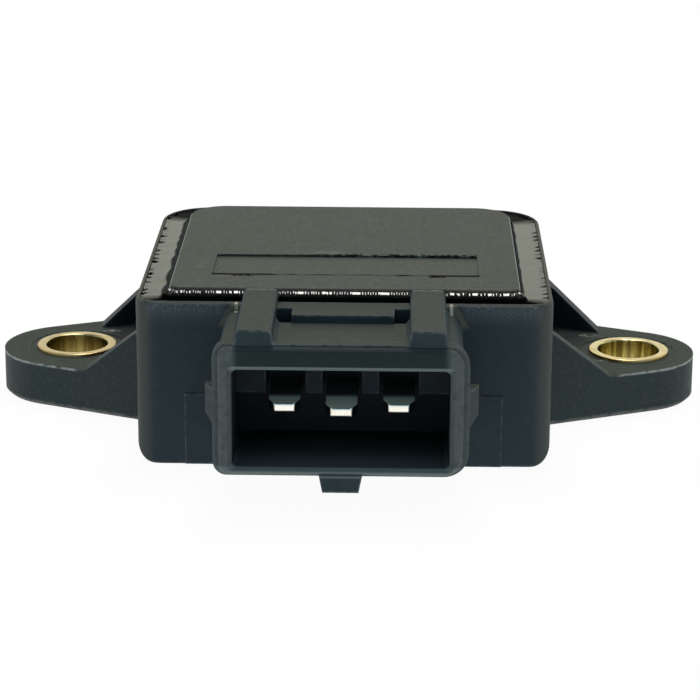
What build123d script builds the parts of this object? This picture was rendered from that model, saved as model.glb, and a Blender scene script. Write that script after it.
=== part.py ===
from build123d import *
from math import cos, degrees, radians, sin, tan
import os

os.makedirs("parts", exist_ok=True)

# Mounting ears and brass sleeves; the origin lies midway between the holes on the mounting face
hole_spacing = 55.0
sleeve_outer_d = 7.9
sleeve_wall = 0.9
sleeve_proud = 0.2
sleeve_chamfer = 0.1
ear_thickness = 4.3
ear_tip_r = 6.8
ear_flare = 24.0
ear_bevel = 0.35
ear_overlap = 1.5
spot_face_d = 9.5
spot_face_depth = 0.1
washer_room_d = 13.0
gusset_front_thickness = 1.2
gusset_back_thickness = 2.3
gusset_foot = 6.3
gusset_rise = 41.0

# Body of the housing, whose middle plane lies a little to the left of the shaft
body_x = -0.38
body_width = 38.15
body_front = -22.7
body_back = 12.9
front_corner_r = 2.3
back_corner_r = 5.0
bottom_side_r = 1.7
rim_height = 15.4
rim_round = 0.38
rim_wall = 0.65
rim_side_wall = 0.4
pad_width = 29.1
pad_height = 6.8
pad_proud = 0.12

# Cover and potting channel
cover_top = 16.2
cover_thickness = 2.2
cover_front_r = 0.9
cover_back_r = 3.6
cover_bevel = 0.15
potting_side = 2.6
potting_front_width = 1.65
potting_back = 2.05
potting_drop = 0.15
label_width = 24.8
label_depth = 6.75
label_y = -12.02
label_corner_r = 0.3
label_sunk = 0.2

# Inner chamber
seat_width = 1.5
chamber_corner_r = 2.0
floor_thickness = 3.4
post_size = 3.4

# Connector shroud
shroud_front = -34.0
shroud_width = 21.5
shroud_bottom = 3.0
shroud_top = 14.7
shroud_top_left_r = 0.8
shroud_top_right_r = 1.6
shroud_bottom_left_r = 0.75
shroud_bottom_right_r = 1.7
collar_out = 0.5
collar_up = 0.2
collar_down = 0.15
collar_setback = 0.5
collar_length = 1.3
rim_edge_bevel = 0.3
socket_width = 19.1
socket_bottom = 3.65
socket_top = 12.6
socket_depth = 10.5
socket_corner_r = 0.5
socket_lead_in = 0.4
socket_lead_below = 0.25
shelf_depth = 7.2
shelf_bottom = 8.3
shelf_notch = 3.55
ledge_front = -26.2
ledge_notch_width = 1.4
ledge_notch_depth = 2.2
ledge_pocket_depth = 0.8
rail_inner = 6.0
rail_width = 3.2
rail_top = 16.2
rail_setback = 0.4
rail_gap = 0.1
rail_round = 0.45
rail_foot = 0.5
key_top_width = 3.8
key_bottom_width = 3.2
key_drop = 1.55
key_length = 5.0
lug_out = 1.4
lug_bottom = 6.5
lug_top = 10.0
lug_slant = 0.9
lug_length = 3.2
lug_land = 0.5

# Terminals
pin_pitch = 5.08
pin_width = 2.8
pin_thickness = 0.8
pin_z = 8.29
pin_recess = 3.0
pin_middle_extra = 1.2
pin_tip_width = 1.8
pin_tip_length = 1.2
pin_tip_bevel = 0.12
tail_width = 1.6
tail_reach = 2.8
tab_width = 1.2
tab_above = 0.8

# Printed track board
board_thickness = 0.8
board_above_pin = 0.7
board_margin = 0.8
board_corner_r = 1.0
board_hole_d = 6.4
board_slot_clearance = 0.15
track_thickness = 0.08
resistance_r = 6.0
collector_r = 4.6
track_width = 1.0
track_start = -8.0
track_sweep = 104.0
trace_width = 0.6
trace_left_x = -7.4
solder_foot_d = 2.3
solder_top_d = 1.7
solder_height = 0.6

# Rotor, wiper and seal
bore_d = 11.1
journal_clearance = 0.05
rotor_lift = 0.3
rotor_flange_r = 7.3
rotor_flange_thickness = 3.5
rotor_float = 0.1
socket_shaft_d = 8.0
socket_shaft_flat = 3.0
socket_shaft_roof = 1.2
shoulder_d = 5.4
spigot_d = 4.0
spigot_reach = 1.8
stop_lug_out = 0.9
stop_lug_width = 2.0
stop_lug_angle = 200.0
travel = 88.0
stop_gap_angle = 3.0
stop_post_width = 1.6
stop_post_out = 2.6
stop_post_clearance = 0.4
boss_d = 8.0
boss_drop = 2.5
boss_blind = 0.4
washer_thickness = 0.4
washer_outer_d = 7.0
washer_clearance = 0.15
wiper_thickness = 0.3
wiper_ring_d = 7.8
wiper_bar_y = -3.1
wiper_bar_width = 1.0
wiper_arm_width = 0.9
wiper_tip_length = 0.6
wiper_track_gap = 0.1
seal_mean_d = 16.0
seal_section_d = 1.75
seal_groove_width = 2.4
seal_groove_depth = 1.8
seal_section_sides = 8

# Derived positions
hole_x = hole_spacing / 2
sleeve_bore_d = sleeve_outer_d - 2 * sleeve_wall
half_body = body_width / 2
seat_z = cover_top - cover_thickness
potting_z = rim_height - potting_drop
channel_width = body_width - 2 * rim_side_wall
channel_front = body_front + rim_wall
channel_back = body_back - rim_wall
cover_width = channel_width - 2 * potting_side
cover_front = channel_front + potting_front_width
cover_back = channel_back - potting_back
chamber_width = cover_width - 2 * seat_width
chamber_front = cover_front + seat_width
chamber_back = cover_back - seat_width
rail_outer = rail_inner + rail_width
socket_back = shroud_front + socket_depth
board_z = pin_z + pin_thickness / 2 + board_above_pin
board_top = board_z + board_thickness
board_width = chamber_width - 2 * board_margin
board_front = chamber_front + board_margin
board_back = chamber_back - board_margin
track_z = board_z - track_thickness
tab_y = chamber_front + tail_reach
flange_z = floor_thickness + rotor_float
flange_top = flange_z + rotor_flange_thickness
boss_z = seat_z - boss_drop
shoulder_z = boss_z - washer_thickness - rotor_float
pin_x = (-pin_pitch, 0.0, pin_pitch)
sides = (-1, 1)
shroud_corners = (
    (0, 0, shroud_bottom_left_r), (0, -1, shroud_bottom_right_r),
    (-1, 0, shroud_top_left_r), (-1, -1, shroud_top_right_r),
)

# Level plane and front plane through the middle of the housing
level = Plane(origin=(body_x, 0, 0))
upright = Plane(origin=(body_x, 0, 0), x_dir=(1, 0, 0), z_dir=(0, -1, 0))
front_plane = upright.offset(-shroud_front)


# Half width of an ear at a distance x from the middle plane
def ear_half_width(x):
    run = hole_x + ear_tip_r * sin(radians(ear_flare)) - x
    return ear_tip_r * cos(radians(ear_flare)) + run * tan(radians(ear_flare))


# Flared flanks of one ear from the tangent points at its tip to inside the body
def ear_points(side):
    far = hole_x + ear_tip_r * sin(radians(ear_flare))
    near = half_body - ear_overlap
    corners = [(far, 1), (near, 1), (near, -1), (far, -1)]
    return [(side * x, sign * ear_half_width(x)) for x, sign in corners]


# Strip along one flank of an ear that carries a gusset
def gusset_points(side, flank):
    far = half_body + gusset_foot
    near = half_body - ear_overlap
    thickness = gusset_front_thickness if flank < 0 else gusset_back_thickness
    inset = thickness / cos(radians(ear_flare))
    outer = [(side * x, flank * ear_half_width(x)) for x in (far, near)]
    inner = [(side * x, flank * (ear_half_width(x) - inset)) for x in (near, far)]
    return outer + inner


# Body outline drawn back by a margin on each side
def body_outline(sketch, width, front, back, front_r, back_r):
    with Locations((0, (front + back) / 2)):
        Rectangle(width, back - front)
    fillet(sketch.vertices().group_by(Axis.Y)[0], front_r)
    fillet(sketch.vertices().group_by(Axis.Y)[-1], back_r)


# Corners of the shroud's outline, drawn out by a margin
def round_shroud(sketch, margin):
    for row, end, radius in shroud_corners:
        corner = sketch.vertices().group_by(Axis.Y)[row].sort_by(Axis.X)[end]
        fillet(corner, radius + margin)


# Mouth of the socket, drawn out above, below and to the sides
def socket_mouth(sketch, out, below):
    with Locations((0, socket_bottom - below)):
        Rectangle(
            socket_width + 2 * out, socket_top + out + below - socket_bottom,
            align=(Align.CENTER, Align.MIN),
        )
    fillet(sketch.vertices(), socket_corner_r)


# Ears with gussets
gusset_height = (gusset_foot + ear_overlap) * tan(radians(gusset_rise))
with BuildPart() as ears:
    with BuildSketch(level):
        for side in sides:
            Polygon(*ear_points(side), align=None)
            with Locations((side * hole_x, 0)):
                Circle(ear_tip_r)
    extrude(amount=ear_thickness)
    chamfer(ears.edges().group_by(Axis.Z)[0], ear_bevel)
    with BuildSketch(level.offset(ear_thickness)):
        for side in sides:
            for flank in sides:
                Polygon(*gusset_points(side, flank), align=None)
    extrude(amount=gusset_height)
    with BuildSketch(upright):
        for side in sides:
            foot = (side * (half_body + gusset_foot), ear_thickness)
            head = (side * (half_body - ear_overlap), ear_thickness + gusset_height)
            Polygon(foot, head, (foot[0], head[1]), align=None)
    extrude(amount=body_width, both=True, mode=Mode.SUBTRACT)

# Ramped side lugs of the connector
with BuildPart() as lugs:
    lug_back = shroud_front + collar_setback + collar_length + lug_length
    with BuildSketch(level.offset(lug_bottom)):
        for side in sides:
            root = side * (shroud_width / 2 - collar_out)
            crest = side * (shroud_width / 2 + lug_out)
            flush = side * shroud_width / 2
            Polygon(
                (root, lug_back), (root, lug_back - lug_length), (flush, lug_back - lug_length),
                (crest, lug_back - lug_land), (crest, lug_back), align=None,
            )
    extrude(amount=lug_top - lug_bottom)
    with BuildSketch(upright):
        for side in sides:
            crest = side * (shroud_width / 2 + lug_out)
            Polygon(
                (crest, lug_bottom), (crest, lug_bottom + lug_slant),
                (crest - side * lug_slant, lug_bottom), align=None,
            )
    extrude(amount=-2 * shroud_front, both=True, mode=Mode.SUBTRACT)

# Housing: one moulding with body, ears, connector shroud and rails
with BuildPart() as housing:
    with BuildSketch(level) as outline:
        body_outline(outline, body_width, body_front, body_back, front_corner_r, back_corner_r)
    extrude(amount=rim_height)
    with BuildSketch(upright.offset(-body_back)) as front_view:
        with Locations((0, rim_height / 2)):
            Rectangle(body_width, rim_height)
        fillet(front_view.vertices().group_by(Axis.Y)[0], bottom_side_r)
    extrude(amount=body_back - body_front, mode=Mode.INTERSECT)
    fillet(housing.edges().group_by(Axis.Z)[-1], rim_round)
    with BuildSketch(upright.offset(-body_front)):
        with Locations((0, pad_height / 2)):
            Rectangle(pad_width, pad_height)
    extrude(amount=pad_proud)
    add(ears.part)
    with BuildSketch(front_plane) as shroud:
        with Locations((0, (shroud_bottom + shroud_top) / 2)):
            Rectangle(shroud_width, shroud_top - shroud_bottom)
        round_shroud(shroud, 0)
    extrude(amount=shroud_front - body_front - rim_wall)
    chamfer(housing.faces().sort_by(Axis.Y)[0].edges(), rim_edge_bevel)
    with BuildSketch(front_plane.offset(-collar_setback)) as collar:
        with Locations((0, shroud_bottom - collar_down)):
            Rectangle(
                shroud_width + 2 * collar_out, shroud_top + collar_up + collar_down - shroud_bottom,
                align=(Align.CENTER, Align.MIN),
            )
        round_shroud(collar, collar_out)
    extrude(amount=-collar_length)
    with BuildSketch(level.offset(shroud_bottom)):
        with Locations((0, (ledge_front + channel_front) / 2)):
            Rectangle(2 * rail_inner, channel_front - ledge_front)
        with Locations((-rail_inner, ledge_front), (rail_inner, ledge_front)):
            Rectangle(2 * ledge_notch_width, 2 * ledge_notch_depth, mode=Mode.SUBTRACT)
    extrude(amount=rim_height - shroud_bottom)
    add(lugs.part)
    with BuildSketch(front_plane):
        Polygon(
            (-key_top_width / 2, shroud_bottom), (key_top_width / 2, shroud_bottom),
            (key_bottom_width / 2, shroud_bottom - key_drop),
            (-key_bottom_width / 2, shroud_bottom - key_drop), align=None,
        )
    extrude(amount=-key_length)
    # Potting channel and cover seat
    with BuildSketch(level.offset(seat_z)) as channel:
        body_outline(
            channel, channel_width, channel_front, channel_back,
            front_corner_r - rim_wall, back_corner_r - rim_wall,
        )
    extrude(amount=rim_height - seat_z, mode=Mode.SUBTRACT)
    # Inner chamber
    with BuildSketch(level.offset(floor_thickness)) as chamber:
        body_outline(
            chamber, chamber_width, chamber_front, chamber_back, chamber_corner_r, chamber_corner_r,
        )
    extrude(amount=seat_z - floor_thickness, mode=Mode.SUBTRACT)
    # Rails on top of the connector, with a flared foot
    with BuildSketch(front_plane.offset(-rail_setback)) as rails:
        for side in sides:
            Polygon(
                (side * rail_inner, rail_top), (side * rail_outer, rail_top),
                (side * rail_outer, shroud_top + rail_foot),
                (side * (rail_outer + rail_foot), shroud_top - collar_up),
                (side * (rail_inner - rail_foot), shroud_top - collar_up),
                (side * rail_inner, shroud_top + rail_foot), align=None,
            )
        fillet(rails.vertices().group_by(Axis.Y)[-1], rail_round)
    extrude(amount=shroud_front + rail_setback - body_front)
    with BuildSketch(upright.offset(-body_front)) as rail_ends:
        with Locations(*[(side * (rail_inner + rail_outer) / 2, seat_z) for side in sides]):
            Rectangle(rail_width, rail_top - seat_z, align=(Align.CENTER, Align.MIN))
        fillet(rail_ends.vertices().group_by(Axis.Y)[-1], rail_round)
    extrude(amount=body_front + rail_gap - cover_front)
    # Pockets beside the ledge, between it and the rails
    pocket_y = ledge_front + ledge_notch_depth / 2
    with BuildSketch(level.offset(shroud_top - ledge_pocket_depth)):
        with Locations(*[(side * (rail_inner - ledge_notch_width / 2), pocket_y) for side in sides]):
            Rectangle(ledge_notch_width, ledge_notch_depth)
    extrude(amount=rim_height - shroud_top + ledge_pocket_depth, mode=Mode.SUBTRACT)
    # Board supports in the chamber corners
    with BuildSketch(level.offset(floor_thickness)):
        for side in sides:
            with Locations((side * chamber_width / 2, chamber_front), (side * chamber_width / 2, chamber_back)):
                Rectangle(2 * post_size, 2 * post_size)
    extrude(amount=board_z - floor_thickness)
    # Stops for the rotor lug
    stop_half = (stop_post_width + stop_lug_width) / 2 / (rotor_flange_r + stop_lug_out)
    stop_turn = degrees(stop_half) + stop_gap_angle
    stop_r = rotor_flange_r + stop_post_clearance
    for angle in (stop_lug_angle - stop_turn, stop_lug_angle + travel + stop_turn):
        with BuildSketch(Plane.XY.offset(floor_thickness)):
            with PolarLocations(stop_r, 1, start_angle=angle):
                Rectangle(stop_post_out, stop_post_width, align=(Align.MIN, Align.CENTER))
        extrude(amount=rotor_flange_thickness)
    # Connector socket with a lead-in, a shelf notched over each blade, and terminal slots
    with BuildSketch(front_plane) as socket:
        socket_mouth(socket, 0, 0)
    extrude(amount=-socket_depth, mode=Mode.SUBTRACT)
    with BuildSketch(front_plane) as mouth:
        socket_mouth(mouth, socket_lead_in, socket_lead_below)
    with BuildSketch(front_plane.offset(-socket_lead_in)) as throat:
        socket_mouth(throat, 0, 0)
    loft(ruled=True, mode=Mode.SUBTRACT)
    with BuildSketch(front_plane.offset(-shelf_depth)):
        with Locations((0, shelf_bottom)):
            Rectangle(socket_width, socket_top - shelf_bottom, align=(Align.CENTER, Align.MIN))
        with Locations(*[(x, shelf_bottom) for x in pin_x]):
            Rectangle(
                shelf_notch, socket_top - shelf_bottom,
                align=(Align.CENTER, Align.MIN), mode=Mode.SUBTRACT,
            )
    extrude(amount=shelf_depth - socket_depth)
    with BuildSketch(upright.offset(-socket_back)):
        with Locations(*[(x, pin_z) for x in pin_x]):
            Rectangle(pin_width, pin_thickness)
    extrude(amount=-(chamber_front - socket_back), mode=Mode.SUBTRACT)
    # Shaft bore and seal groove in the mounting face
    with BuildSketch():
        Circle(bore_d / 2)
    extrude(amount=floor_thickness, mode=Mode.SUBTRACT)
    with BuildSketch():
        Circle((seal_mean_d + seal_groove_width) / 2)
        Circle((seal_mean_d - seal_groove_width) / 2, mode=Mode.SUBTRACT)
    extrude(amount=seal_groove_depth, mode=Mode.SUBTRACT)
    # Room for screw washers at the feet of the gussets
    with BuildSketch(Plane.XY.offset(ear_thickness)):
        with Locations(*[(side * hole_x, 0) for side in sides]):
            Circle(washer_room_d / 2)
    extrude(amount=gusset_height, mode=Mode.SUBTRACT)
    # Sleeve holes with a shallow spot face
    with Locations(*[(side * hole_x, 0, ear_thickness) for side in sides]):
        CounterBoreHole(sleeve_outer_d / 2, spot_face_d / 2, spot_face_depth)
housing.part.label = "housing"
export_step(housing.part, "parts/housing.step")

# Cover with a shallow blank label field and a bearing boss below
with BuildPart() as cover:
    with BuildSketch(level.offset(seat_z)) as plate:
        body_outline(plate, cover_width, cover_front, cover_back, cover_front_r, cover_back_r)
    extrude(amount=cover_thickness)
    chamfer(cover.edges().group_by(Axis.Z)[-1], cover_bevel)
    with BuildSketch(level.offset(cover_top)):
        with Locations((0, label_y)):
            RectangleRounded(label_width, label_depth, label_corner_r)
    extrude(amount=-label_sunk, mode=Mode.SUBTRACT)
    with BuildSketch(Plane.XY.offset(seat_z)):
        Circle(boss_d / 2)
    extrude(amount=-boss_drop)
    with BuildSketch(Plane.XY.offset(boss_z)):
        Circle(spigot_d / 2 + journal_clearance)
    extrude(amount=spigot_reach + boss_blind, mode=Mode.SUBTRACT)
cover.part.label = "cover"
export_step(cover.part, "parts/cover.step")

# Potting round the cover, open in front between the outer sides of the rails
with BuildPart() as potting_bead:
    with BuildSketch(level.offset(seat_z)) as ring:
        body_outline(
            ring, channel_width, channel_front, channel_back,
            front_corner_r - rim_wall, back_corner_r - rim_wall,
        )
        with Locations((0, cover_front)):
            Rectangle(2 * rail_outer, 2 * potting_front_width, mode=Mode.SUBTRACT)
    extrude(amount=potting_z - seat_z)
    with BuildSketch(level.offset(seat_z)) as hollow:
        body_outline(hollow, cover_width, cover_front, cover_back, cover_front_r, cover_back_r)
    extrude(amount=cover_thickness, mode=Mode.SUBTRACT)
potting_bead.part.label = "potting_bead"
export_step(potting_bead.part, "parts/potting_bead.step")

# Potting in front of the cover between the rails
with BuildPart() as potting_front:
    with BuildSketch(level.offset(seat_z)):
        with Locations((0, (channel_front + cover_front) / 2)):
            Rectangle(2 * rail_inner, potting_front_width)
    extrude(amount=potting_z - seat_z)
potting_front.part.label = "potting_front"
export_step(potting_front.part, "parts/potting_front.step")

# Brass sleeves pressed into the ears
for side, side_name in zip(sides, ("left", "right")):
    with BuildPart() as sleeve:
        with BuildSketch():
            with Locations((side * hole_x, 0)):
                Circle(sleeve_outer_d / 2)
                Circle(sleeve_bore_d / 2, mode=Mode.SUBTRACT)
        extrude(amount=ear_thickness + sleeve_proud)
        rims = sleeve.edges().filter_by(GeomType.CIRCLE).group_by(SortBy.RADIUS)[0]
        chamfer(rims, sleeve_chamfer)
    sleeve.part.label = "mounting_sleeve_" + side_name
    export_step(sleeve.part, "parts/mounting_sleeve_" + side_name + ".step")

# Terminal blades: moulded through the front wall, narrowed to a tail and bent up to the board
for x, pin_name in zip(pin_x, ("left", "middle", "right")):
    tip_y = shroud_front + pin_recess - (pin_middle_extra if x == 0 else 0)
    with BuildPart() as terminal:
        with BuildSketch(level.offset(pin_z - pin_thickness / 2)):
            Polygon(
                (x - pin_width / 2, chamber_front), (x - pin_width / 2, tip_y + pin_tip_length),
                (x - pin_tip_width / 2, tip_y), (x + pin_tip_width / 2, tip_y),
                (x + pin_width / 2, tip_y + pin_tip_length), (x + pin_width / 2, chamber_front), align=None,
            )
            with Locations((x, chamber_front)):
                Rectangle(tail_width, tail_reach + pin_thickness / 2, align=(Align.CENTER, Align.MIN))
        extrude(amount=pin_thickness)
        chamfer(terminal.faces().sort_by(Axis.Y)[0].edges(), pin_tip_bevel)
        with BuildSketch(level.offset(pin_z)):
            with Locations((x, tab_y)):
                Rectangle(tab_width, pin_thickness)
        extrude(amount=board_top + tab_above - pin_z)
    terminal.part.label = "terminal_" + pin_name
    export_step(terminal.part, "parts/terminal_" + pin_name + ".step")
    with BuildPart() as solder:
        with Locations((body_x + x, tab_y, board_top)):
            Cone(
                solder_foot_d / 2, solder_top_d / 2, solder_height,
                align=(Align.CENTER, Align.CENTER, Align.MIN),
            )
            Box(tab_width, pin_thickness, 4 * solder_height, mode=Mode.SUBTRACT)
    solder.part.label = "solder_" + pin_name
    export_step(solder.part, "parts/solder_" + pin_name + ".step")

# Ceramic board resting on the corner posts
with BuildPart() as track_board:
    with BuildSketch(level.offset(board_z)) as blank:
        body_outline(blank, board_width, board_front, board_back, board_corner_r, board_corner_r)
        with Locations((-body_x, 0)):
            Circle(board_hole_d / 2, mode=Mode.SUBTRACT)
        with Locations(*[(x, tab_y) for x in pin_x]):
            Rectangle(
                tab_width + 2 * board_slot_clearance, pin_thickness + 2 * board_slot_clearance,
                mode=Mode.SUBTRACT,
            )
    extrude(amount=board_thickness)
track_board.part.label = "track_board"
export_step(track_board.part, "parts/track_board.step")

# Carbon resistance track on the underside of the board
resistance_arc = CenterArc((0, 0), resistance_r, track_start, track_sweep)
collector_arc = CenterArc((0, 0), collector_r, track_start, track_sweep)
with BuildPart() as resistance_track:
    with BuildSketch(Plane.XY.offset(track_z)):
        SlotArc(resistance_arc, track_width)
    extrude(amount=track_thickness)
resistance_track.part.label = "resistance_track"
export_step(resistance_track.part, "parts/resistance_track.step")

# Silver conductors: collector arc and the three leads to the terminals
lead_end = tab_y + pin_thickness + board_slot_clearance
lead_bend = lead_end + pin_pitch / 2
lead_x = [body_x + x for x in pin_x]
start_turn = radians(track_start)
end_turn = radians(track_start + track_sweep)
with BuildPart() as conductors:
    with BuildSketch(Plane.XY.offset(track_z)):
        with BuildLine():
            start = (resistance_r * cos(start_turn), resistance_r * sin(start_turn))
            Polyline(start, (start[0], lead_bend), (lead_x[2], lead_end))
        trace(line_width=trace_width)
        with BuildLine():
            end = (resistance_r * cos(end_turn), resistance_r * sin(end_turn))
            Polyline(end, (trace_left_x, end[1]), (trace_left_x, lead_bend), (lead_x[0], lead_end))
        trace(line_width=trace_width)
        with BuildLine():
            tap = (collector_r * cos(start_turn), collector_r * sin(start_turn))
            Polyline(tap, (tap[0], lead_bend + pin_pitch), (lead_x[1], lead_bend), (lead_x[1], lead_end))
        trace(line_width=trace_width)
        SlotArc(collector_arc, track_width)
        SlotArc(resistance_arc, track_width, mode=Mode.SUBTRACT)
    extrude(amount=track_thickness)
conductors.part.label = "conductors"
export_step(conductors.part, "parts/conductors.step")

# Rotor with a blind flatted socket for the throttle shaft
journal_r = bore_d / 2 - journal_clearance
with BuildPart() as rotor:
    with BuildSketch(Plane.XY.offset(rotor_lift)):
        Circle(journal_r)
    extrude(amount=flange_z - rotor_lift)
    with BuildSketch(Plane.XY.offset(flange_z)):
        Circle(rotor_flange_r)
        with PolarLocations(0, 1, start_angle=stop_lug_angle):
            Rectangle(rotor_flange_r + stop_lug_out, stop_lug_width, align=(Align.MIN, Align.CENTER))
    extrude(amount=rotor_flange_thickness)
    with BuildSketch(Plane.XY.offset(flange_top)):
        Circle(shoulder_d / 2)
    extrude(amount=shoulder_z - flange_top)
    with BuildSketch(Plane.XY.offset(shoulder_z)):
        Circle(spigot_d / 2)
    extrude(amount=boss_z + spigot_reach - shoulder_z)
    with BuildSketch(Plane.XY.offset(rotor_lift)):
        Circle(socket_shaft_d / 2)
        with Locations((0, socket_shaft_flat)):
            Rectangle(socket_shaft_d, socket_shaft_d, align=(Align.CENTER, Align.MIN), mode=Mode.SUBTRACT)
    extrude(amount=flange_top - socket_shaft_roof - rotor_lift, mode=Mode.SUBTRACT)
rotor.part.label = "rotor"
export_step(rotor.part, "parts/rotor.step")

# Thrust washer between the rotor shoulder and the cover boss
with BuildPart() as thrust_washer:
    with BuildSketch(Plane.XY.offset(shoulder_z)):
        Circle(washer_outer_d / 2)
        Circle(spigot_d / 2 + washer_clearance, mode=Mode.SUBTRACT)
    extrude(amount=washer_thickness)
thrust_washer.part.label = "thrust_washer"
export_step(thrust_washer.part, "parts/thrust_washer.step")

# Stamped wiper on the rotor flange with two sprung arms
wiper_reach = resistance_r + wiper_arm_width / 2
arm_top = track_z - wiper_track_gap
with BuildPart() as wiper:
    with BuildSketch(Plane.XY.offset(flange_top)):
        Circle(wiper_ring_d / 2)
        with Locations((0, wiper_bar_y)):
            Rectangle(wiper_reach, wiper_bar_width, align=(Align.MIN, Align.CENTER))
        Circle(shoulder_d / 2 + washer_clearance, mode=Mode.SUBTRACT)
    extrude(amount=wiper_thickness)
    for arm_r in (collector_r, resistance_r):
        with BuildSketch(Plane.YZ.offset(arm_r - wiper_arm_width / 2)):
            Polygon(
                (wiper_bar_y, flange_top), (wiper_bar_y + wiper_bar_width / 2, flange_top),
                (wiper_tip_length / 2, arm_top - wiper_thickness), (wiper_tip_length / 2, arm_top),
                (-wiper_tip_length / 2, arm_top), (wiper_bar_y, flange_top + wiper_thickness), align=None,
            )
        extrude(amount=wiper_arm_width)
wiper.part.label = "wiper"
export_step(wiper.part, "parts/wiper.step")

# Seal ring lying in the mounting face groove
with BuildPart() as seal_ring:
    with BuildSketch(Plane.XZ):
        with Locations((seal_mean_d / 2, seal_groove_depth - seal_section_d / 2)):
            RegularPolygon(
                seal_section_d / 2, seal_section_sides, major_radius=False, rotation=180 / seal_section_sides,
            )
    revolve(axis=Axis.Z)
seal_ring.part.label = "seal_ring"
export_step(seal_ring.part, "parts/seal_ring.step")
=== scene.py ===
import math

import bpy
import numpy as np
from mathutils import Matrix, Vector


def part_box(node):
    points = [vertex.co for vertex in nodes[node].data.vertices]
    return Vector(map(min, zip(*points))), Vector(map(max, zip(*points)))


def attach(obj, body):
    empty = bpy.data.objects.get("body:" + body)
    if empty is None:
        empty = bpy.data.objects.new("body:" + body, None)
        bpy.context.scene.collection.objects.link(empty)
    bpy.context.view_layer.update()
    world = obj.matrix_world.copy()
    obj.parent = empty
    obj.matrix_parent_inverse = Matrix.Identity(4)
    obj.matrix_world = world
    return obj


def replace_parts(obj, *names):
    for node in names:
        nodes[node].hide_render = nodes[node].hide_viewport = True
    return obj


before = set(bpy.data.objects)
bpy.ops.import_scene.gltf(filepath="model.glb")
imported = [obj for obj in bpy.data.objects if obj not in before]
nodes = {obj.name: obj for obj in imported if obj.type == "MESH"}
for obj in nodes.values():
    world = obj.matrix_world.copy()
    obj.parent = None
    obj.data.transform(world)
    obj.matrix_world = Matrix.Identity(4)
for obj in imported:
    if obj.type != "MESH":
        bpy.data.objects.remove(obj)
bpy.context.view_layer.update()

# The scene is in metres, and the sizes of the pieces below are in millimetres
MM = 0.001
FIXED = "sensor_body"


# Node maths


class Shade:
    """One output of a node tree. Arithmetic on it adds Math nodes and gives a new Shade."""

    def __init__(self, finish, socket):
        self.finish = finish
        self.socket = socket

    def maths(self, operation, *values):
        return self.finish.node("ShaderNodeMath", {"operation": operation}, dict(enumerate(values)))

    def __add__(self, other):
        return self.maths("ADD", self, other)

    def __sub__(self, other):
        return self.maths("SUBTRACT", self, other)

    def __rsub__(self, other):
        return self.maths("SUBTRACT", other, self)

    def __mul__(self, other):
        return self.maths("MULTIPLY", self, other)

    def __truediv__(self, other):
        return self.maths("DIVIDE", self, other)

    def __pow__(self, other):
        return self.maths("POWER", self, other)

    __radd__ = __add__
    __rmul__ = __mul__

    def larger(self, other):
        return self.maths("MAXIMUM", self, other)

    def size(self):
        return self.maths("ABSOLUTE", self)

    def step(self, low, high):
        """Rises smoothly from 0 at low to 1 at high, and falls where low is the greater."""
        settings = {"interpolation_type": "SMOOTHSTEP"}
        return self.finish.node("ShaderNodeMapRange", settings, {0: self, 1: low, 2: high, 3: 0.0, 4: 1.0})

    def within(self, low, low_full, high_full, high):
        """Rises from low to low_full, stays at 1, and falls from high_full to high."""
        return self.step(low, low_full) * self.step(high, high_full)


class Finish:
    """A node tree under construction, for a material or for the world."""

    def __init__(self, tree):
        self.tree = tree

    def node(self, kind, settings=None, inputs=None, out=0):
        """Adds a node: its settings first, then the values or links of its sockets, by name or number."""
        made = self.tree.nodes.new(kind)
        for key, value in (settings or {}).items():
            setattr(made, key, value)
        for key, value in (inputs or {}).items():
            self.put(made.inputs[key], value)
        return Shade(self, made.outputs[out])

    def put(self, socket, value):
        if isinstance(value, Shade):
            self.tree.links.new(value.socket, socket)
        else:
            socket.default_value = value

    def mix(self, factor, first, second):
        """Blends two colours: first where the factor is 0, second where it is 1."""
        return self.node("ShaderNodeMix", {"data_type": "RGBA"}, {0: factor, 6: first, 7: second}, out=2)

    def millimetres(self):
        """The point on the surface in the part's own frame, in millimetres."""
        place = self.node("ShaderNodeTexCoord", out="Object")
        return self.node("ShaderNodeVectorMath", {"operation": "SCALE"}, {0: place, "Scale": 1 / MM})

    def parts(self, vector):
        """The X, Y and Z of a vector as three Shades."""
        made = self.node("ShaderNodeSeparateXYZ", inputs={0: vector})
        return [Shade(self, socket) for socket in made.socket.node.outputs]

    def noise(self, place, per_mm, detail=2.0, roughness=0.5):
        inputs = {"Vector": place, "Scale": per_mm, "Detail": detail, "Roughness": roughness}
        return self.node("ShaderNodeTexNoise", inputs=inputs)

    def drawn_noise(self, place, scale, per_mm, detail):
        """Noise drawn out along the axes whose scale is small."""
        drawn = self.node("ShaderNodeMapping", inputs={"Vector": place, "Scale": scale})
        return self.noise(drawn, per_mm, detail)

    def coats(self, tone, *coats):
        """Lays coats over a tone one after another, each a mask and a colour."""
        for mask, colour in coats:
            tone = self.mix(mask, tone, colour)
        return tone

    def rounded(self, radius_mm):
        """The surface normal with every edge rounded off by a radius."""
        return self.node("ShaderNodeBevel", {"samples": 6}, {"Radius": radius_mm * MM})

    def outer_edges(self, reach_mm):
        """Near 0.5 on outer edges and 0 on flats: the share of short inward rays that meet another face."""
        settings = {"inside": True, "only_local": True, "samples": 6}
        inward = self.node("ShaderNodeAmbientOcclusion", settings, {"Distance": reach_mm * MM}, out="AO")
        return 1 - inward

    def bump(self, height, strength, depth_mm, normal=None):
        inputs = {"Height": height, "Strength": strength, "Distance": depth_mm * MM}
        if normal:
            inputs["Normal"] = normal
        return self.node("ShaderNodeBump", inputs=inputs)


def grey(level):
    return (level, level, level, 1.0)


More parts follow.
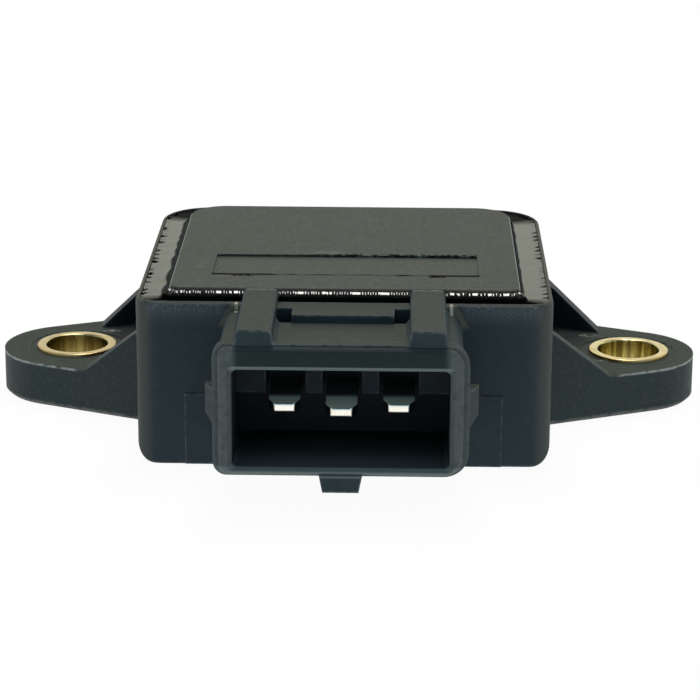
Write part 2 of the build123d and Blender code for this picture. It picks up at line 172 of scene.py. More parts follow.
def new_finish(name, **constants):
    """An empty material with its constant Principled values set, and a Finish to add nodes with."""
    material = bpy.data.materials.new(name)
    material.use_nodes = True
    finish = Finish(material.node_tree)
    shader = material.node_tree.nodes["Principled BSDF"]
    for key, value in constants.items():
        shader.inputs[key.replace("_", " ").title().replace("Ior", "IOR")].default_value = value
    return material, finish, shader


def blend_with_dull(material, finish, shader, share, colour, roughness):
    """Blends a material with a dull surface without gloss, which is all there is where the share is 1."""
    dull = finish.node("ShaderNodeBsdfPrincipled", inputs={
        "Base Color": colour, "Roughness": roughness, "Specular IOR Level": 0.0,
    })
    own = Shade(finish, shader.outputs[0])
    whole = finish.node("ShaderNodeMixShader", inputs={0: share, 1: own, 2: dull})
    finish.put(material.node_tree.nodes["Material Output"].inputs["Surface"], whole)


def oval(x, y, centre, halves):
    """0 at the middle of an ellipse and 1 on its outline."""
    return ((x - centre[0]) / halves[0]) ** 2.0 + ((y - centre[1]) / halves[1]) ** 2.0


# Finishes

# Noise scale for marks left by drawing sheet metal along Y
DRAWN_ALONG_Y = (8.0, 0.6, 8.0)


def moulded_plastic(name, dark, light, roughness, grain_per_mm, specular, edge_mm, worn_lit_edge_share):
    """Moulded plastic: cloudy tone, a spark-eroded grain in the bump, and edges rounded and painted pale,
    as wear and as a painted edge highlight.
    """
    material, finish, shader = new_finish(name, specular_ior_level=specular)
    place = finish.millimetres()
    cloud = finish.noise(place, 0.12, 3.0)
    patch = finish.noise(place, 1.3, 2.0)
    grain = finish.noise(place, grain_per_mm, 3.0, 0.6)
    specks = finish.noise(place, 3.6, 0.0).step(0.8, 0.88)
    mottle = finish.noise(place, 2.2, 3.0, 0.7).step(0.3, 0.7)
    edges = finish.rounded(edge_mm)
    # Outer edges painted pale in patches: partly wear, partly a painted edge highlight
    worn_lit_edges = finish.outer_edges(2 * edge_mm).step(0.15, 0.4) * (0.3 + 0.7 * patch.step(0.4, 0.6))
    tone = finish.mix(cloud.step(0.3, 0.7) * 0.4 + patch.step(0.3, 0.7) * 0.3 + grain * 0.3, dark, light)
    tone = finish.mix(specks * 0.08 + worn_lit_edges * worn_lit_edge_share, tone, grey(0.2))
    finish.put(shader.inputs["Base Color"], tone)
    matt = roughness + cloud * 0.08 + mottle * 0.1 + grain * 0.06
    finish.put(shader.inputs["Roughness"], matt)
    finish.put(shader.inputs["Normal"], finish.bump(grain, 0.3, 0.02, edges))
    return material, finish, shader, tone, matt


def housing_plastic(middle_mm):
    """The housing's plastic, olive on top as painted warm top light, pale along its edges, with painted
    highlights, reflections and shade round the connector's mouth, in the socket, on the front wall and on
    the ears.

    Each mask says where a coat lies, by the place in millimetres and by the way the surface faces."""
    # The bluish tone stands in for cool light on the front and sides; up-facing faces get painted warm top
    # light below
    dark, light = (0.012, 0.022, 0.026, 1), (0.019, 0.034, 0.04, 1)
    material, finish, shader, tone, matt = moulded_plastic(
        "housing_plastic", dark, light,
        roughness=0.47, grain_per_mm=4.0, specular=0.23, edge_mm=0.15, worn_lit_edge_share=0.5,
    )
    place = finish.millimetres()
    x, y, z = finish.parts(place)
    nx, ny, nz = finish.parts(finish.node("ShaderNodeNewGeometry", out="True Normal"))
    away = (x - middle_mm).size()
    # Patchy noise, which breaks up the painted light below and the pale rail ends
    patchy = finish.noise(place, 1.6, 3.0).step(0.25, 0.6)
    upward = nz.step(0.85, 0.97)

    # Connector's mouth: painted light on the side and bottom bands of its frame and on the lead-in under
    # the roof, painted shade on its top band, and painted shade in the socket behind it, with painted light
    # on its floor near the mouth
    mouth = y.step(-33.3, -33.6)
    # Side and bottom bands of the mouth's frame: painted light, as a reflection of the bright surroundings
    beside = away.step(8.9, 9.8)
    low_edge = z.step(3.9, 3.6)
    frame_front = mouth * z.step(2.7, 2.95)
    bands = beside.larger(low_edge) * frame_front
    lip = low_edge * frame_front
    # Lead-in under the socket's roof: painted highlight
    roof = nz.step(-0.3, -0.5) * z.step(12.2, 12.6) * mouth
    # Top band of the mouth's frame: painted shade
    brow = z.within(12.9, 13.1, 14.4, 14.6) * mouth * (1 - beside)
    # Socket floor painted lighter towards the mouth: painted light coming in
    sill = nz.step(0.5, 0.8) * z.step(4.4, 4.0) * away.step(9.9, 9.4) * y.step(-27.5, -33.0)
    # Inside of the socket, and deeper below the shelf at its back: painted shade
    socket = away.step(9.7, 9.5) * z.step(3.5, 3.7)
    cave = socket * y.within(-33.2, -31.0, -23.4, -23.1) * z.step(12.75, 12.55)
    den = socket * y.within(-26.5, -25.5, -23.2, -23.0) * z.step(9.2, 8.9)

    # Front wall: a painted sheen and glints under the rim, painted reflections on its corners, a painted
    # glint and a painted lit slope beside the feet of the rails, pale rail ends, and the rim
    wall = ny.step(-0.3, -0.8) * away.step(10.3, 11.3) * y.within(-23.5, -23.0, -22.5, -22.2)
    # Painted sheen and glints on the front wall under the rim
    glint_specks = finish.noise(place, 7.0, 0.0).step(0.55, 0.72) * z.step(14.0, 14.8)
    painted_sheen = wall * (z.step(13.0, 15.2) * 0.35 + glint_specks * 0.65)
    # Front corners of the body: painted reflection
    corner = nx.size().step(0.25, 0.6) * ny.step(-0.15, -0.4) * y.within(-23.2, -22.9, -21.0, -20.2)
    rail_foot = y.within(-23.3, -23.15, -22.3, -22.1)
    # Cream streak beside each rail's foot: a painted glint
    painted_glint = (away - 9.75).size().step(0.2, 0.08) * rail_foot * z.within(14.4, 14.6, 15.35, 15.5) * patchy
    # Slanted band beside each rail on the front wall: painted light, as on a lit slope
    lean = away - 10.2 - (15.3 - z) * 0.55
    slope = lean.step(0.25, -0.15) * ny.step(-0.2, -0.5) * z.step(13.0, 13.6)
    shoulder = slope * y.within(-23.3, -23.1, -22.3, -22.1)
    rail_end = z.step(16.1, 16.15) * y.step(-20.95, -20.75) * patchy
    rim = z.within(14.9, 15.15, 15.45, 15.6) * away.step(18.4, 18.6)

    # Ears: painted highlights beside the sleeves and on the outer top edges, a painted floor reflection on
    # the lower edges, and painted shade between the gussets
    ears = away.step(19.2, 20.2)
    # Lower edge of the ears: painted reflection of the floor, broken up
    foot = z.step(0.6, 0.4) * away.step(19.2, 19.6) * nz.step(-0.95, -0.8) * patchy
    # Outer top edge of each ear: painted highlight, broken up
    brim = z.within(3.98, 4.15, 4.35, 4.45) * away.step(26.0, 26.6) * nz.step(0.3, 0.1) * patchy
    # Pale dashes where the washer recess cuts the gussets: painted highlights
    far_mark = oval(away, y, (24.2, 4.95), (1.05, 0.4)).step(1.0, 0.6)
    near_mark = oval(away, y, (25.0, -3.3), (0.75, 0.35)).step(1.0, 0.6)
    broken = finish.noise(place, 1.9, 2.0).step(0.38, 0.56)
    painted_edge_glints = far_mark.larger(near_mark) * broken * z.within(4.1, 4.15, 4.35, 4.4)
    # Between the gussets near the body: painted shade
    nook = away.within(19.0, 19.2, 23.0, 25.5) * z.step(4.2, 4.25) * y.step(-1.0, 1.5)
    grime = finish.noise(place, 2.3, 3.0, 0.7).step(0.5, 0.7) * ears * nz.step(0.6, 0.4)

    tone = finish.coats(
        tone,
        # Olive on up-facing faces: painted warm top light
        (upward * 0.6, (0.024, 0.028, 0.018, 1)),
        (ears * 0.35, (0.02, 0.026, 0.019, 1)),
        (grime * 0.3, (0.06, 0.066, 0.06, 1)),
        (rim * 0.6, (0.05, 0.05, 0.03, 1)),
        # Painted shade between the gussets
        (nook * 0.75, (0.003, 0.004, 0.008, 1)),
        # Painted shade inside the socket
        (cave * 0.5, (0.002, 0.002, 0.004, 1)),
        (den * 0.8, (0.001, 0.001, 0.002, 1)),
        # Painted reflection on the front corners
        (corner * 0.5, (0.055, 0.057, 0.043, 1)),
        # Painted highlight on the ears' outer top edges
        (brim * 0.85, (0.34, 0.35, 0.32, 1)),
        # Painted sheen and glints under the rim
        (painted_sheen, (0.088, 0.1, 0.108, 1)),
        # Painted light on the socket floor near the mouth
        (sill, (0.06, 0.07, 0.075, 1)),
        # Painted shade on the mouth's top band
        (brow * 0.8, (0.003, 0.01, 0.008, 1)),
        # Painted light on the mouth's side and bottom bands
        (bands * (0.55 + 0.45 * patchy), (0.075, 0.085, 0.078, 1)),
        (lip * 0.6, (0.13, 0.16, 0.16, 1)),
        # Painted floor reflection on the ears' lower edge
        (foot * 0.8, (0.095, 0.1, 0.09, 1)),
        # Painted light on the slanted band beside the rails
        (shoulder * 0.9, (0.085, 0.087, 0.066, 1)),
        # Painted highlights beside the sleeves
        (painted_edge_glints * 0.8, (0.2, 0.205, 0.19, 1)),
        (rail_end * 0.6, (0.16, 0.165, 0.15, 1)),
        # Painted glint beside the rails' feet
        (painted_glint * 0.9, (0.5, 0.47, 0.38, 1)),
        # Painted highlight on the lead-in under the roof
        (roof * 0.9, (0.13, 0.16, 0.15, 1)),
    )
    finish.put(shader.inputs["Base Color"], tone)
    finish.put(shader.inputs["Roughness"], matt + upward * 0.07)
    return material


def cover_plastic(field_low, field_high, sides_mm):
    """The cover's plastic, with faint smears, side edges painted pale as a highlight, and dark dull lines
    along the label field's edges.
    """
    dark, light = (0.011, 0.014, 0.011, 1), (0.018, 0.022, 0.016, 1)
    material, finish, shader, tone, _ = moulded_plastic(
        "cover_plastic", dark, light,
        roughness=0.42, grain_per_mm=5.0, specular=0.3, edge_mm=0.1, worn_lit_edge_share=0.12,
    )
    place = finish.millimetres()
    x, y = finish.parts(place)[:2]
    (left, near), (right, far) = field_low, field_high
    smears = finish.drawn_noise(place, (0.35, 0.9, 1.0), 0.8, 4.0)
    mottle = finish.noise(place, 1.5, 2.0).step(0.35, 0.65)

    # A dark dull line in front of the field's near edge, thicker in two places, and on its ragged far edge
    inside = x.within(left - 0.1, left, right, right + 0.1)
    field = y.within(near, near + 0.1, far - 0.1, far) * inside
    ends = x.step(left + 2.4, left + 1.8).larger(x.step(right - 5.0, right - 4.4))
    breaks = finish.noise(place, 0.35, 2.0).step(0.4, 0.6).larger(ends)
    seam = (y - near + 0.2).size().step(0.36, 0.26) * (0.3 + 0.7 * breaks)
    smudged = (x - left - 2.9).size().step(1.2, 0.8).larger((x - right + 3.9).size().step(1.0, 0.5))
    clots = finish.noise(place, 1.7, 2.0).step(0.4, 0.5)
    smudge = y.within(near - 1.0, near - 0.85, near, near + 0.1) * smudged * clots
    rough = finish.noise(place, 1.8, 2.0)
    ragged = y.within(far - 0.1, far, far + 0.4, far + 0.55) * x.step(-9.0, 2.0)
    dark_dull_lines = seam.larger(smudge).larger(ragged * rough.step(0.46, 0.54)) * inside
    chips = ragged * rough.step(0.44, 0.36) * inside

    # Rub marks behind and beside the field, and side edges painted pale as a highlight
    streak = oval(x, y, (-2.0, far + 0.9), (2.6, 0.5)).step(1.0, 0.2)
    crescent = oval(x, y, (left - 1.2, near + 3.2), (0.9, 1.9)).step(1.0, 0.3)
    rubs = streak.larger(crescent * 0.35) * smears.step(0.35, 0.6)
    # Side edges of the cover: painted highlight, broken up
    left_edge = x.step(sides_mm[0] + 0.14, sides_mm[0] + 0.04)
    right_edge = x.step(sides_mm[1] - 0.14, sides_mm[1] - 0.04)
    lit_side_edges = left_edge.larger(right_edge) * (0.3 + 0.5 * breaks)

    tone = finish.coats(
        tone,
        (rubs * 0.45, (0.13, 0.135, 0.115, 1)),
        (smears.step(0.45, 0.75) * 0.12 + mottle * 0.2 + field * 0.25, (0.032, 0.037, 0.029, 1)),
        # Painted highlight on the cover's side edges, and pale chips on the ragged far edge
        (lit_side_edges.larger(chips * 0.25), (0.26, 0.27, 0.24, 1)),
    )
    finish.put(shader.inputs["Base Color"], tone)
    blend_with_dull(material, finish, shader, dark_dull_lines, grey(0.012), 0.8)
    return material


def potting_resin():
    """Black casting resin: a wet gloss with slow waves and dust, and dull where its gloss is low."""
    material, finish, shader = new_finish("potting_resin", specular_ior_level=0.8)
    place = finish.millimetres()
    waves = finish.noise(place, 0.5, 2.0)
    dust = finish.noise(place, 5.0, 0.0).step(0.74, 0.82)
    finish.put(shader.inputs["Base Color"], finish.mix(dust * 0.3, grey(0.004), grey(0.12)))
    finish.put(shader.inputs["Roughness"], 0.05 + waves * 0.05 + dust * 0.3)
    finish.put(shader.inputs["Normal"], finish.bump(waves, 0.12, 0.05))
    wet = finish.node("ShaderNodeAttribute", {"attribute_name": "gloss"}, out="Fac")
    blend_with_dull(material, finish, shader, 1 - wet, grey(0.003), 0.6)
    return material


def turned_brass(hole_x_mm, bore_r_mm):
    """Turned brass: fine rings on the end face, a streaked bore, and the left sleeve darker."""
    material, finish, shader = new_finish("turned_brass", metallic=1.0)
    place = finish.millimetres()
    x, y, z = finish.parts(place)
    across = x.size() - hole_x_mm
    radius = (across ** 2.0 + y ** 2.0) ** 0.5
    rim_start, rim_full = 3.72, 3.95
    rings = finish.noise(finish.node("ShaderNodeCombineXYZ", inputs={0: radius, 1: z}), 6.0, 2.0)
    tarnish = finish.noise(place, 0.9, 4.0, 0.65)
    streaks = finish.drawn_noise(place, (1.6, 1.6, 0.12), 1.0, 3.0)
    bore = radius.step(bore_r_mm + 0.06, bore_r_mm)
    on_left = x.step(1.0, -1.0)
    face = finish.mix(tarnish.step(0.35, 0.75), (0.76, 0.63, 0.35, 1.0), (0.56, 0.44, 0.21, 1.0))
    face = finish.mix(radius.step(rim_start, rim_full) * 0.55, face, (0.5, 0.27, 0.07, 1.0))
    inside = finish.mix(streaks.step(0.4, 0.6), (0.3, 0.24, 0.1, 1.0), (0.85, 0.78, 0.42, 1.0))
    # The left sleeve is made darker
    left_sleeve_tone = finish.mix(bore, (0.42, 0.29, 0.14, 1.0), (0.3, 0.25, 0.13, 1.0))
    tone = finish.mix(bore, face, inside)
    height = rings * 0.06 * (1 - bore) + streaks * bore * 0.5
    finish.put(shader.inputs["Base Color"], finish.mix(on_left * 0.5, tone, left_sleeve_tone))
    finish.put(shader.inputs["Roughness"], 0.2 + rings * 0.12 + tarnish * 0.1 - bore * 0.1)
    finish.put(shader.inputs["Normal"], finish.bump(height, 0.9, 0.05))
    return material


def plated_metal(name, colour, dull, roughness):
    """Plated sheet metal: slightly dulled in patches, with drawing marks along its length."""
    material, finish, shader = new_finish(name, metallic=1.0)
    place = finish.millimetres()
    marks = finish.drawn_noise(place, DRAWN_ALONG_Y, 1.0, 2.0)
    patches = finish.noise(place, 1.2, 3.0)
    finish.put(shader.inputs["Base Color"], finish.mix(patches.step(0.35, 0.75), colour, dull))
    finish.put(shader.inputs["Roughness"], roughness + marks * 0.12 + patches * 0.06)
    finish.put(shader.inputs["Normal"], finish.bump(marks, 0.15, 0.01, finish.rounded(0.08)))
    return material


def blade_plating(tip_mm):
    """Tinned blades: bright at the tip, dull and dusty on the upper flats, and painted dark towards the
    root as the shadow of the socket's roof.
    """
    material, finish, shader = new_finish("blade_plating")
    place = finish.millimetres()
    marks = finish.drawn_noise(place, DRAWN_ALONG_Y, 1.0, 2.0)
    patches = finish.noise(place, 1.2, 3.0)
    flat = finish.parts(finish.node("ShaderNodeNewGeometry", out="True Normal"))[2].step(0.8, 0.95)
    # Painted shadow of the socket's roof, darkening the blades towards the root
    root = finish.parts(place)[1].step(tip_mm + 1.6, tip_mm + 2.9)
    bright = finish.mix(patches.step(0.35, 0.75), (0.99, 0.97, 0.9, 1), (0.95, 0.9, 0.77, 1))
    tone = finish.mix(flat * 0.9, bright, (0.6, 0.57, 0.46, 1))
    finish.put(shader.inputs["Base Color"], finish.mix(root * 0.94, tone, grey(0.01)))
    finish.put(shader.inputs["Metallic"], 1 - 0.85 * flat)
    finish.put(shader.inputs["Roughness"], 0.08 + marks * 0.08 + flat * 0.4)
    finish.put(shader.inputs["Normal"], finish.bump(marks, 0.15, 0.01, finish.rounded(0.25)))
    return material


def fine_grain(name, first, second, roughness, per_mm):
    """A fine-grained surface such as fired ceramic, printed carbon, spring steel or rubber."""
    material, finish, shader = new_finish(name, specular_ior_level=0.4)
    place = finish.millimetres()
    grain = finish.noise(place, per_mm, 3.0, 0.6)
    finish.put(shader.inputs["Base Color"], finish.mix(grain.step(0.3, 0.7), first, second))
    finish.put(shader.inputs["Roughness"], roughness + grain * 0.15)
    finish.put(shader.inputs["Normal"], finish.bump(grain, 0.2, 0.01))
    return material


# Shapes


def put_in_scene(name, points, faces, material, node, gloss=None):
    """Makes a smooth mesh at the origin from arrays of points in millimetres, in place of a CAD node."""
    mesh = bpy.data.meshes.new(name)
    mesh.from_pydata((points * MM).tolist(), [], faces)
    mesh.shade_smooth()
    mesh.materials.append(material)
    if gloss is not None:
        layer = mesh.attributes.new("gloss", "FLOAT", "POINT")
        layer.data.foreach_set("value", gloss.astype(np.float32).ravel())
    piece = bpy.data.objects.new(name, mesh)
    bpy.context.scene.collection.objects.link(piece)
    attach(piece, FIXED)
    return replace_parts(piece, node)


def grid_faces(rows, columns, wrap_rows, wrap_columns):
    """Quads of a rows by columns grid of points numbered row by row, closed in the wrapped directions."""
    row = np.arange(rows if wrap_rows else rows - 1)
    column = np.arange(columns if wrap_columns else columns - 1)
    r, c = (index.ravel() for index in np.meshgrid(row, column, indexing="ij"))
    next_r = (r + 1) % rows
    next_c = (c + 1) % columns
    this_row, next_row = r * columns, next_r * columns
    return np.stack([this_row + c, next_row + c, next_row + next_c, this_row + next_c], 1).tolist()


def turned_ring(profile, centre, turns):
    """A closed profile of radius and height carried round a vertical axis.

    Point (i, j) is the centre plus radius j in the direction of turn i, at height j."""
    angle = np.linspace(0, 2 * np.pi, turns, endpoint=False)[:, None]
    radius, height = profile[None, :, 0], profile[None, :, 1]
    x = centre[0] + radius * np.cos(angle)
    y = centre[1] + radius * np.sin(angle)
    z = np.broadcast_to(height, x.shape)
    points = np.stack([x, y, z], -1).reshape(-1, 3)
    return points, grid_faces(turns, len(profile), True, True)


def rounded_profile(corners, radius, steps=4):
    """A closed outline with every corner rounded.

    Each corner is cut back by its radius along both sides and bridged by a quadratic curve through it."""
    corner = np.array(corners, float)
    radius = np.broadcast_to(np.array(radius, float), len(corner))[:, None]
    before = np.roll(corner, 1, 0) - corner
    after = np.roll(corner, -1, 0) - corner
    start = corner + radius * before / np.linalg.norm(before, axis=1, keepdims=True)
    end = corner + radius * after / np.linalg.norm(after, axis=1, keepdims=True)
    t = np.linspace(0, 1, steps)[None, :, None]
    curve = (1 - t) ** 2 * start[:, None] + 2 * t * (1 - t) * corner[:, None] + t ** 2 * end[:, None]
    return curve.reshape(-1, 2)


def uneven(along, wavelength, seed):
    """Smooth unevenness between about -1 and 1: a sum of nine sines of seeded lengths and phases."""
    sines, highest_sum = 9, 3.6
    random = np.random.default_rng(seed)
    turns = random.uniform(0.55, 1.8, sines) / wavelength
    phase = random.uniform(0, 2 * np.pi, sines)
    return np.sin(2 * np.pi * along[:, None] * turns + phase).sum(1) / highest_sum


def ramp(value, low, high):
    """Rises evenly from 0 at low to 1 at high, and falls where low is the greater."""
    return np.clip((value - low) / (high - low), 0, 1)


def ring_path(low, high, front_r, back_r, middle, gap):
    """A rounded rectangle's outline from right of a gap in its front, round the back, to left of the gap.

    Straight runs and quarter turns follow each other, each split evenly into its own number of steps.
    Returns the points and the outward direction at each."""
    run_counts, turn_count = (220, 240, 120, 240, 220), 62
    (x0, y0), (x1, y1) = low, high
    ends = np.array([
        [(middle + gap, y0), (x1 - front_r, y0)], [(x1, y0 + front_r), (x1, y1 - back_r)],
        [(x1 - back_r, y1), (x0 + back_r, y1)], [(x0, y1 - back_r), (x0, y0 + front_r)],
        [(x0 + front_r, y0), (middle - gap, y0)],
    ])
    facing = np.array([(0, -1), (1, 0), (0, 1), (-1, 0), (0, -1)], float)
    runs = [np.linspace(0, 1, count)[:, None] for count in run_counts]
    path = [start + (end - start) * t for (start, end), t in zip(ends, runs)]
    outward = [direction + 0 * t for direction, t in zip(facing, runs)]
    turns = [(x1 - front_r, y0 + front_r, front_r), (x1 - back_r, y1 - back_r, back_r),
             (x0 + back_r, y1 - back_r, back_r), (x0 + front_r, y0 + front_r, front_r)]
    quarter = np.linspace(0, np.pi / 2, turn_count)[1:-1]
    for turn, (x, y, radius) in enumerate(turns):
        angle = quarter + (turn - 1) * np.pi / 2
        direction = np.stack([np.cos(angle), np.sin(angle)], 1)
        path.insert(2 * turn + 1, (x, y) + radius * direction)
        outward.insert(2 * turn + 1, direction)
    return np.concatenate(path), np.concatenate(outward)


def to_wall(path, outward, low, high, front_r, back_r):
    """Carries points outwards until they reach the wall of a rounded rectangle that lies round them.

    A point's distance from that wall is how far it lies beyond the rectangle drawn in by its corner radius,
    less the radius. Every point goes forward by its distance, many times over."""
    rounds = 60
    centre, half = (low + high) / 2, (high - low) / 2
    reached = path
    for _ in range(rounds):
        radius = np.where(reached[:, 1:] < centre[1], front_r, back_r)
        beyond = np.abs(reached - centre) - half + radius
        outside = np.linalg.norm(np.maximum(beyond, 0), axis=1, keepdims=True)
        reached = reached - outward * (outside + np.minimum(beyond.max(1, keepdims=True), 0) - radius)
    return reached


def resin_strip(inner, outer, bottom, level, top, seed):
    """Resin between a wall at the inner path and a wall at the outer path, as one closed skin.

    In front it stands up against the inner wall in a rounded roll, a quarter ellipse that bulges outwards
    and is beaded along its length. Along the sides and the back it falls from the wall in a hollow quarter
    ellipse, narrower on the right. Then it runs nearly flat and ends at the outer wall in small dimples of
    seeded unevenness. Returns points, faces and a gloss for each point, which is low at the back, in the
    dimples and at the foot and the top of the roll."""
    bead_length, slow_length, tooth_length, edge_length = 0.7, 4.5, 2.2, 1.7
    hollow_reach, roll_reach, edge_reach = 1.2, 0.87, 0.55
    crest_drop, roll_drop, bead_size = 0.38, 0.145, 0.042
    tuck, skirt = 0.15, 0.02
    wet_share = 0.85
    across = outer - inner
    length = np.linalg.norm(across, axis=1, keepdims=True)
    across = across / length
    stretch = np.linalg.norm(np.diff((inner + outer) / 2, axis=0), axis=1)
    along = np.concatenate([[0.0], np.cumsum(stretch)])

    # Which way each cross-section faces, and the unevenness along the strip
    front = ramp(-across[:, 1:], 0.0, 0.6)
    side = 1 - front
    right = ramp(across[:, :1], 0, 0.5)
    lit = side * (1 - 0.92 * ramp(across[:, 1:], 0.08, 0.45))
    beads = uneven(along, bead_length, seed)[:, None]
    slow = uneven(along, slow_length, seed + 1)[:, None]
    dips = uneven(along, tooth_length, seed + 2)[:, None] + 0.5 * slow - 0.15
    teeth = np.clip(dips, 0, 1) * (1 - 0.6 * right)
    edge = edge_reach + 0.2 * uneven(along, edge_length, seed + 3)[:, None]

    # The bank against the inner wall, then the flat, then the edge at the outer wall
    u = np.linspace(0, 1, 20)[None, :]
    turn = u * np.pi / 2
    hollow = (hollow_reach + 0.15 * slow) * (1 - 0.4 * right)
    crest = top - crest_drop + 0.05 * slow
    roll = roll_reach + bead_size * beads
    hollow_d = hollow * (1 - np.cos(turn))
    hollow_z = crest - (crest - level) * np.sin(turn)
    roll_d = (roll + tuck) * np.sin(turn) - tuck
    roll_z = level + (top - roll_drop + bead_size * beads - level) * np.cos(turn)
    bank_d = side * hollow_d + front * roll_d
    bank_z = side * hollow_z + front * roll_z
    share = np.linspace(0, 1, 9)[None, 1:]
    flat_d = bank_d[:, -1:] + (length - edge - bank_d[:, -1:]) * share
    flat_z = level + 0.008 * slow * np.sin(np.pi * share)
    edge_d = length - edge * (1 - share)
    edge_z = level + side * (0.08 - 0.36 * teeth) * share ** 2
    start = bank_d[:, :1] - skirt
    end = length + skirt
    d = np.concatenate([start, bank_d, flat_d, edge_d, end], 1)
    z = np.concatenate([start * 0 + bottom, bank_z, flat_z, edge_z, start * 0 + bottom], 1)
    points = np.concatenate([inner[:, None] + across[:, None] * d[..., None], z[..., None]], 2)

    # Gloss
    ridge = ramp(u, 0.1, 0.26) * ramp(u, 0.7, 0.52)
    bank_wet = lit * (0.1 + 0.75 * ramp(u, 0.7, 0.8)) + front * ridge
    flat_wet = wet_share * lit * np.ones_like(flat_d)
    edge_wet = wet_share * lit * (1 - 0.85 * ramp(teeth, 0.05, 0.2) * ramp(share, 0, 0.4))
    wet = np.concatenate([start * 0, bank_wet, flat_wet, edge_wet, start * 0], 1)

    rows, columns = z.shape
    faces = grid_faces(rows, columns, False, True)
    faces += [list(range(columns)), list(range(rows * columns - 1, (rows - 1) * columns - 1, -1))]
    return points.reshape(-1, 3), faces, wet


def dress(material, *names):
    """Gives CAD nodes that keep their own shape a better material."""
    for name in names:
        nodes[name].data.materials.clear()
        nodes[name].data.materials.append(material)


# Stage


def camera():
    """The view of the photograph: a long lens a little above the part and a little to the right of it."""
    azimuth, elevation, roll = math.radians(1.07), math.radians(17.29), math.radians(0.278)
    distance, target = 265.7 * MM, Vector((-0.221 * MM, 0.004 * MM, 4.037 * MM))
    back = Vector((
        math.sin(azimuth) * math.cos(elevation),
        -math.cos(azimuth) * math.cos(elevation),
        math.sin(elevation),
    ))
    data = bpy.data.cameras.new("camera")
    data.lens = 136.86
    data.sensor_width = 36.0
    data.clip_start = 0.01
    data.clip_end = 20.0
    made = bpy.data.objects.new("camera", data)
    made.rotation_mode = "QUATERNION"
    made.rotation_quaternion = (-back).to_track_quat("-Z", "Y")
    made.rotation_quaternion.rotate(Matrix.Rotation(roll, 3, back))
    made.location = target + back * distance
    bpy.context.scene.collection.objects.link(made)
    bpy.context.scene.camera = made


def softbox(name, place, aim, width, depth, power, colour):
    """A rectangular area light at a place and turned towards an aim, in metres and watts."""
    data = bpy.data.lights.new(name, "AREA")
    data.shape = "RECTANGLE"
    data.size = width
    data.size_y = depth
    data.energy = power
    data.color = colour
    lamp = bpy.data.objects.new(name, data)
    lamp.location = place
    lamp.rotation_euler = (Vector(aim) - Vector(place)).to_track_quat("-Z", "Y").to_euler()
    bpy.context.scene.collection.objects.link(lamp)


def floor():
    """A pale table, near white for the camera and in reflections, which keeps a light shadow.

    From below it is clear, so that the underside can be looked at."""
    half, drop = 2.0, 0.02 * MM
    corners = [(x * half, y * half, -drop) for x, y in ((-1, -1), (1, -1), (1, 1), (-1, 1))]
    mesh = bpy.data.meshes.new("floor")
    mesh.from_pydata(corners, [], [(0, 1, 2, 3)])
    material = bpy.data.materials.new("floor")
    material.use_nodes = True
    finish = Finish(material.node_tree)
    path = finish.node("ShaderNodeLightPath", out="Is Camera Ray").socket.node
    kinds = ("Is Camera Ray", "Is Glossy Ray", "Is Transmission Ray")
    seen, glossy, passed = (Shade(finish, path.outputs[kind]) for kind in kinds)
    diffuse = finish.node("ShaderNodeBsdfDiffuse", inputs={"Color": grey(0.9)})
    glow = finish.node("ShaderNodeEmission", inputs={"Color": grey(1.0), "Strength": 1.0})
    share = seen.larger(glossy).larger(passed) * 0.25 + 0.7
    table = finish.node("ShaderNodeMixShader", inputs={0: share, 1: diffuse, 2: glow})
    below = finish.node("ShaderNodeNewGeometry", out="Backfacing")
    clear = finish.node("ShaderNodeBsdfTransparent")
    whole = finish.node("ShaderNodeMixShader", inputs={0: below, 1: table, 2: clear})
    finish.put(material.node_tree.nodes["Material Output"].inputs["Surface"], whole)
    mesh.materials.append(material)
    piece = bpy.data.objects.new("floor", mesh)
    bpy.context.scene.collection.objects.link(piece)


def studio():
    """A pale tent: bright and a little warm behind and to the sides, weaker and cool above and in front."""
    world = bpy.data.worlds.new("studio")
    bpy.context.scene.world = world
    world.use_nodes = True
    finish = Finish(world.node_tree)
    direction = finish.node("ShaderNodeTexCoord", out="Generated")
    x, y, z = finish.parts(direction)
    behind = (y + x.size() * 0.5).step(-0.5, 0.5) * (0.45 + 0.55 * z.step(0.02, 0.24))
    high = z.step(0.45, 0.85)
    around = finish.mix(behind, (0.5, 0.78, 0.95, 1.0), (0.97, 0.99, 0.84, 1.0))
    tent = finish.mix(high, around, (0.1, 0.1, 0.11, 1.0))
    background = finish.node("ShaderNodeBackground", inputs={"Color": tent, "Strength": 1.0})
    finish.put(world.node_tree.nodes["World Output"].inputs["Surface"], background)


bpy.context.scene.view_settings.view_transform = "Standard"
camera()
floor()
studio()
softbox(
    "top_light", place=(0.01, 0.12, 0.45), aim=(0, 0, 0),
    width=0.15, depth=0.26, power=1.6, colour=(1.0, 0.98, 0.93),
)

# Pieces

cover_low, cover_high = (np.array(corner)[:2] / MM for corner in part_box("cover"))
middle = float(cover_low[0] + cover_high[0]) / 2
field_half, field_near, field_far = 12.4, -15.4, -8.65
field_low, field_high = (middle - field_half, field_near), (middle + field_half, field_far)
dress(housing_plastic(middle), "housing")
dress(cover_plastic(field_low, field_high, (float(cover_low[0]), float(cover_high[0]))), "cover")

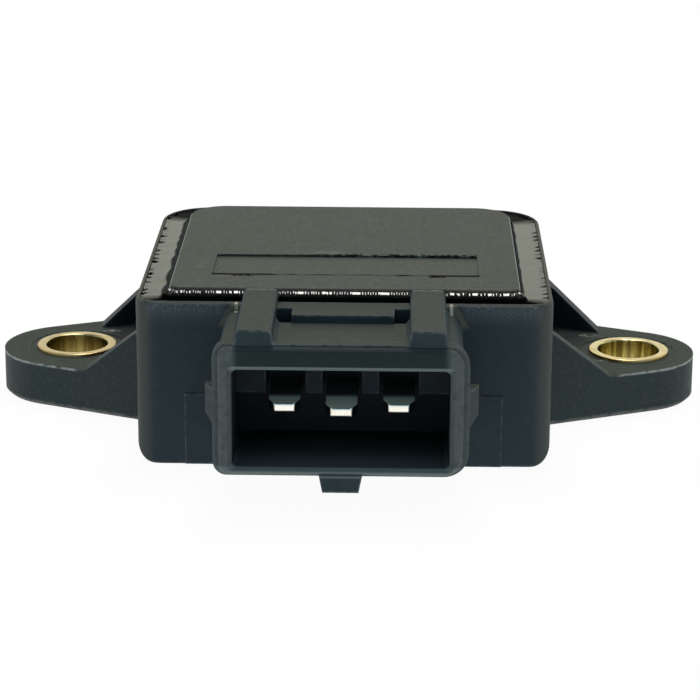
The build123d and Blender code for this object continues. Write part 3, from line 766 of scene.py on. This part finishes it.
# Resin round the cover and between the rails
resin_finish = potting_resin()
bead_low, bead_high = (np.array(corner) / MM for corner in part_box("potting_bead"))
front_low, front_high = (np.array(corner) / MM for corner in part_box("potting_front"))
rail_outer, below_cad, rail_gap_count = 9.2, 0.03, 280
round_seed, rails_seed = 11, 23
cover_front_r, cover_back_r, channel_front_r, channel_back_r = 0.9, 3.6, 1.65, 4.35
resin_bottom, resin_level, resin_top = bead_low[2], bead_high[2] - below_cad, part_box("cover")[1][2] / MM
inner_path, outward = ring_path(cover_low, cover_high, cover_front_r, cover_back_r, middle, rail_outer)
outer_path = to_wall(inner_path, outward, bead_low[:2], bead_high[:2], channel_front_r, channel_back_r)
points, faces, gloss = resin_strip(inner_path, outer_path, resin_bottom, resin_level, resin_top, round_seed)
put_in_scene("potting_round", points, faces, resin_finish, "potting_bead", gloss)
run = np.linspace(front_high[0], front_low[0], rail_gap_count)
inner_path = np.stack([run, np.full_like(run, front_high[1])], 1)[::-1]
outer_path = np.stack([run, np.full_like(run, front_low[1])], 1)[::-1]
points, faces, gloss = resin_strip(inner_path, outer_path, resin_bottom, resin_level, resin_top, rails_seed)
put_in_scene("potting_between_rails", points, faces, resin_finish, "potting_front", gloss)

# Brass sleeves, turned, with the bore broken at both ends
hole_x, bore_r, break_mm, ring_turns = 27.5, 3.05, 0.1, 160
brass_finish = turned_brass(hole_x, bore_r)
for side in ("left", "right"):
    low, high = (np.array(corner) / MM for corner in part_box("mounting_sleeve_" + side))
    outer_r = (high[0] - low[0]) / 2
    corners = [
        (bore_r, low[2] + break_mm), (bore_r + break_mm, low[2]), (outer_r, low[2]),
        (outer_r, high[2]), (bore_r + break_mm, high[2]), (bore_r, high[2] - break_mm),
    ]
    profile = rounded_profile(corners, (0.05, 0.05, 0.12, 0.12, 0.05, 0.05))
    points, faces = turned_ring(profile, (low + high)[:2] / 2, ring_turns)
    put_in_scene("sleeve_" + side, points, faces, brass_finish, "mounting_sleeve_" + side)

# Seal ring, round in section
rubber_finish = fine_grain("seal_rubber", (0.012, 0.012, 0.012, 1), (0.025, 0.025, 0.025, 1), 0.55, 5.0)
low, high = (np.array(corner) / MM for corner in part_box("seal_ring"))
section_r = (high[2] - low[2]) / 2
turn = np.linspace(0, 2 * np.pi, 28, endpoint=False)
ring_r = high[0] - section_r
ring_z = (low[2] + high[2]) / 2
profile = np.stack([ring_r + section_r * np.cos(turn), ring_z + section_r * np.sin(turn)], 1)
points, faces = turned_ring(profile, (low + high)[:2] / 2, ring_turns)
put_in_scene("seal", points, faces, rubber_finish, "seal_ring")

# Pieces that keep their CAD shape
blade_finish = blade_plating(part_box("terminal_left")[0][1] / MM)
dress(blade_finish, "terminal_left", "terminal_middle", "terminal_right")
solder_finish = plated_metal("solder", (0.72, 0.73, 0.74, 1), (0.5, 0.5, 0.5, 1), 0.3)
dress(solder_finish, "solder_left", "solder_middle", "solder_right")
dress(plated_metal("spring_metal", (0.75, 0.7, 0.6, 1), (0.6, 0.55, 0.45, 1), 0.25), "wiper")
dress(plated_metal("silver_print", (0.8, 0.8, 0.78, 1), (0.6, 0.6, 0.57, 1), 0.4), "conductors")
dress(plated_metal("spring_steel", (0.6, 0.6, 0.59, 1), (0.45, 0.45, 0.44, 1), 0.3), "thrust_washer")
dress(fine_grain("ceramic", (0.78, 0.77, 0.72, 1), (0.7, 0.69, 0.64, 1), 0.6, 6.0), "track_board")
carbon_finish = fine_grain("carbon_print", (0.012, 0.012, 0.013, 1), (0.03, 0.03, 0.03, 1), 0.5, 8.0)
dress(carbon_finish, "resistance_track")
rotor_dark, rotor_light = (0.3, 0.28, 0.23, 1), (0.36, 0.34, 0.29, 1)
dress(moulded_plastic("rotor_plastic", rotor_dark, rotor_light, 0.4, 5.0, 0.4, 0.12, 0.2)[0], "rotor")
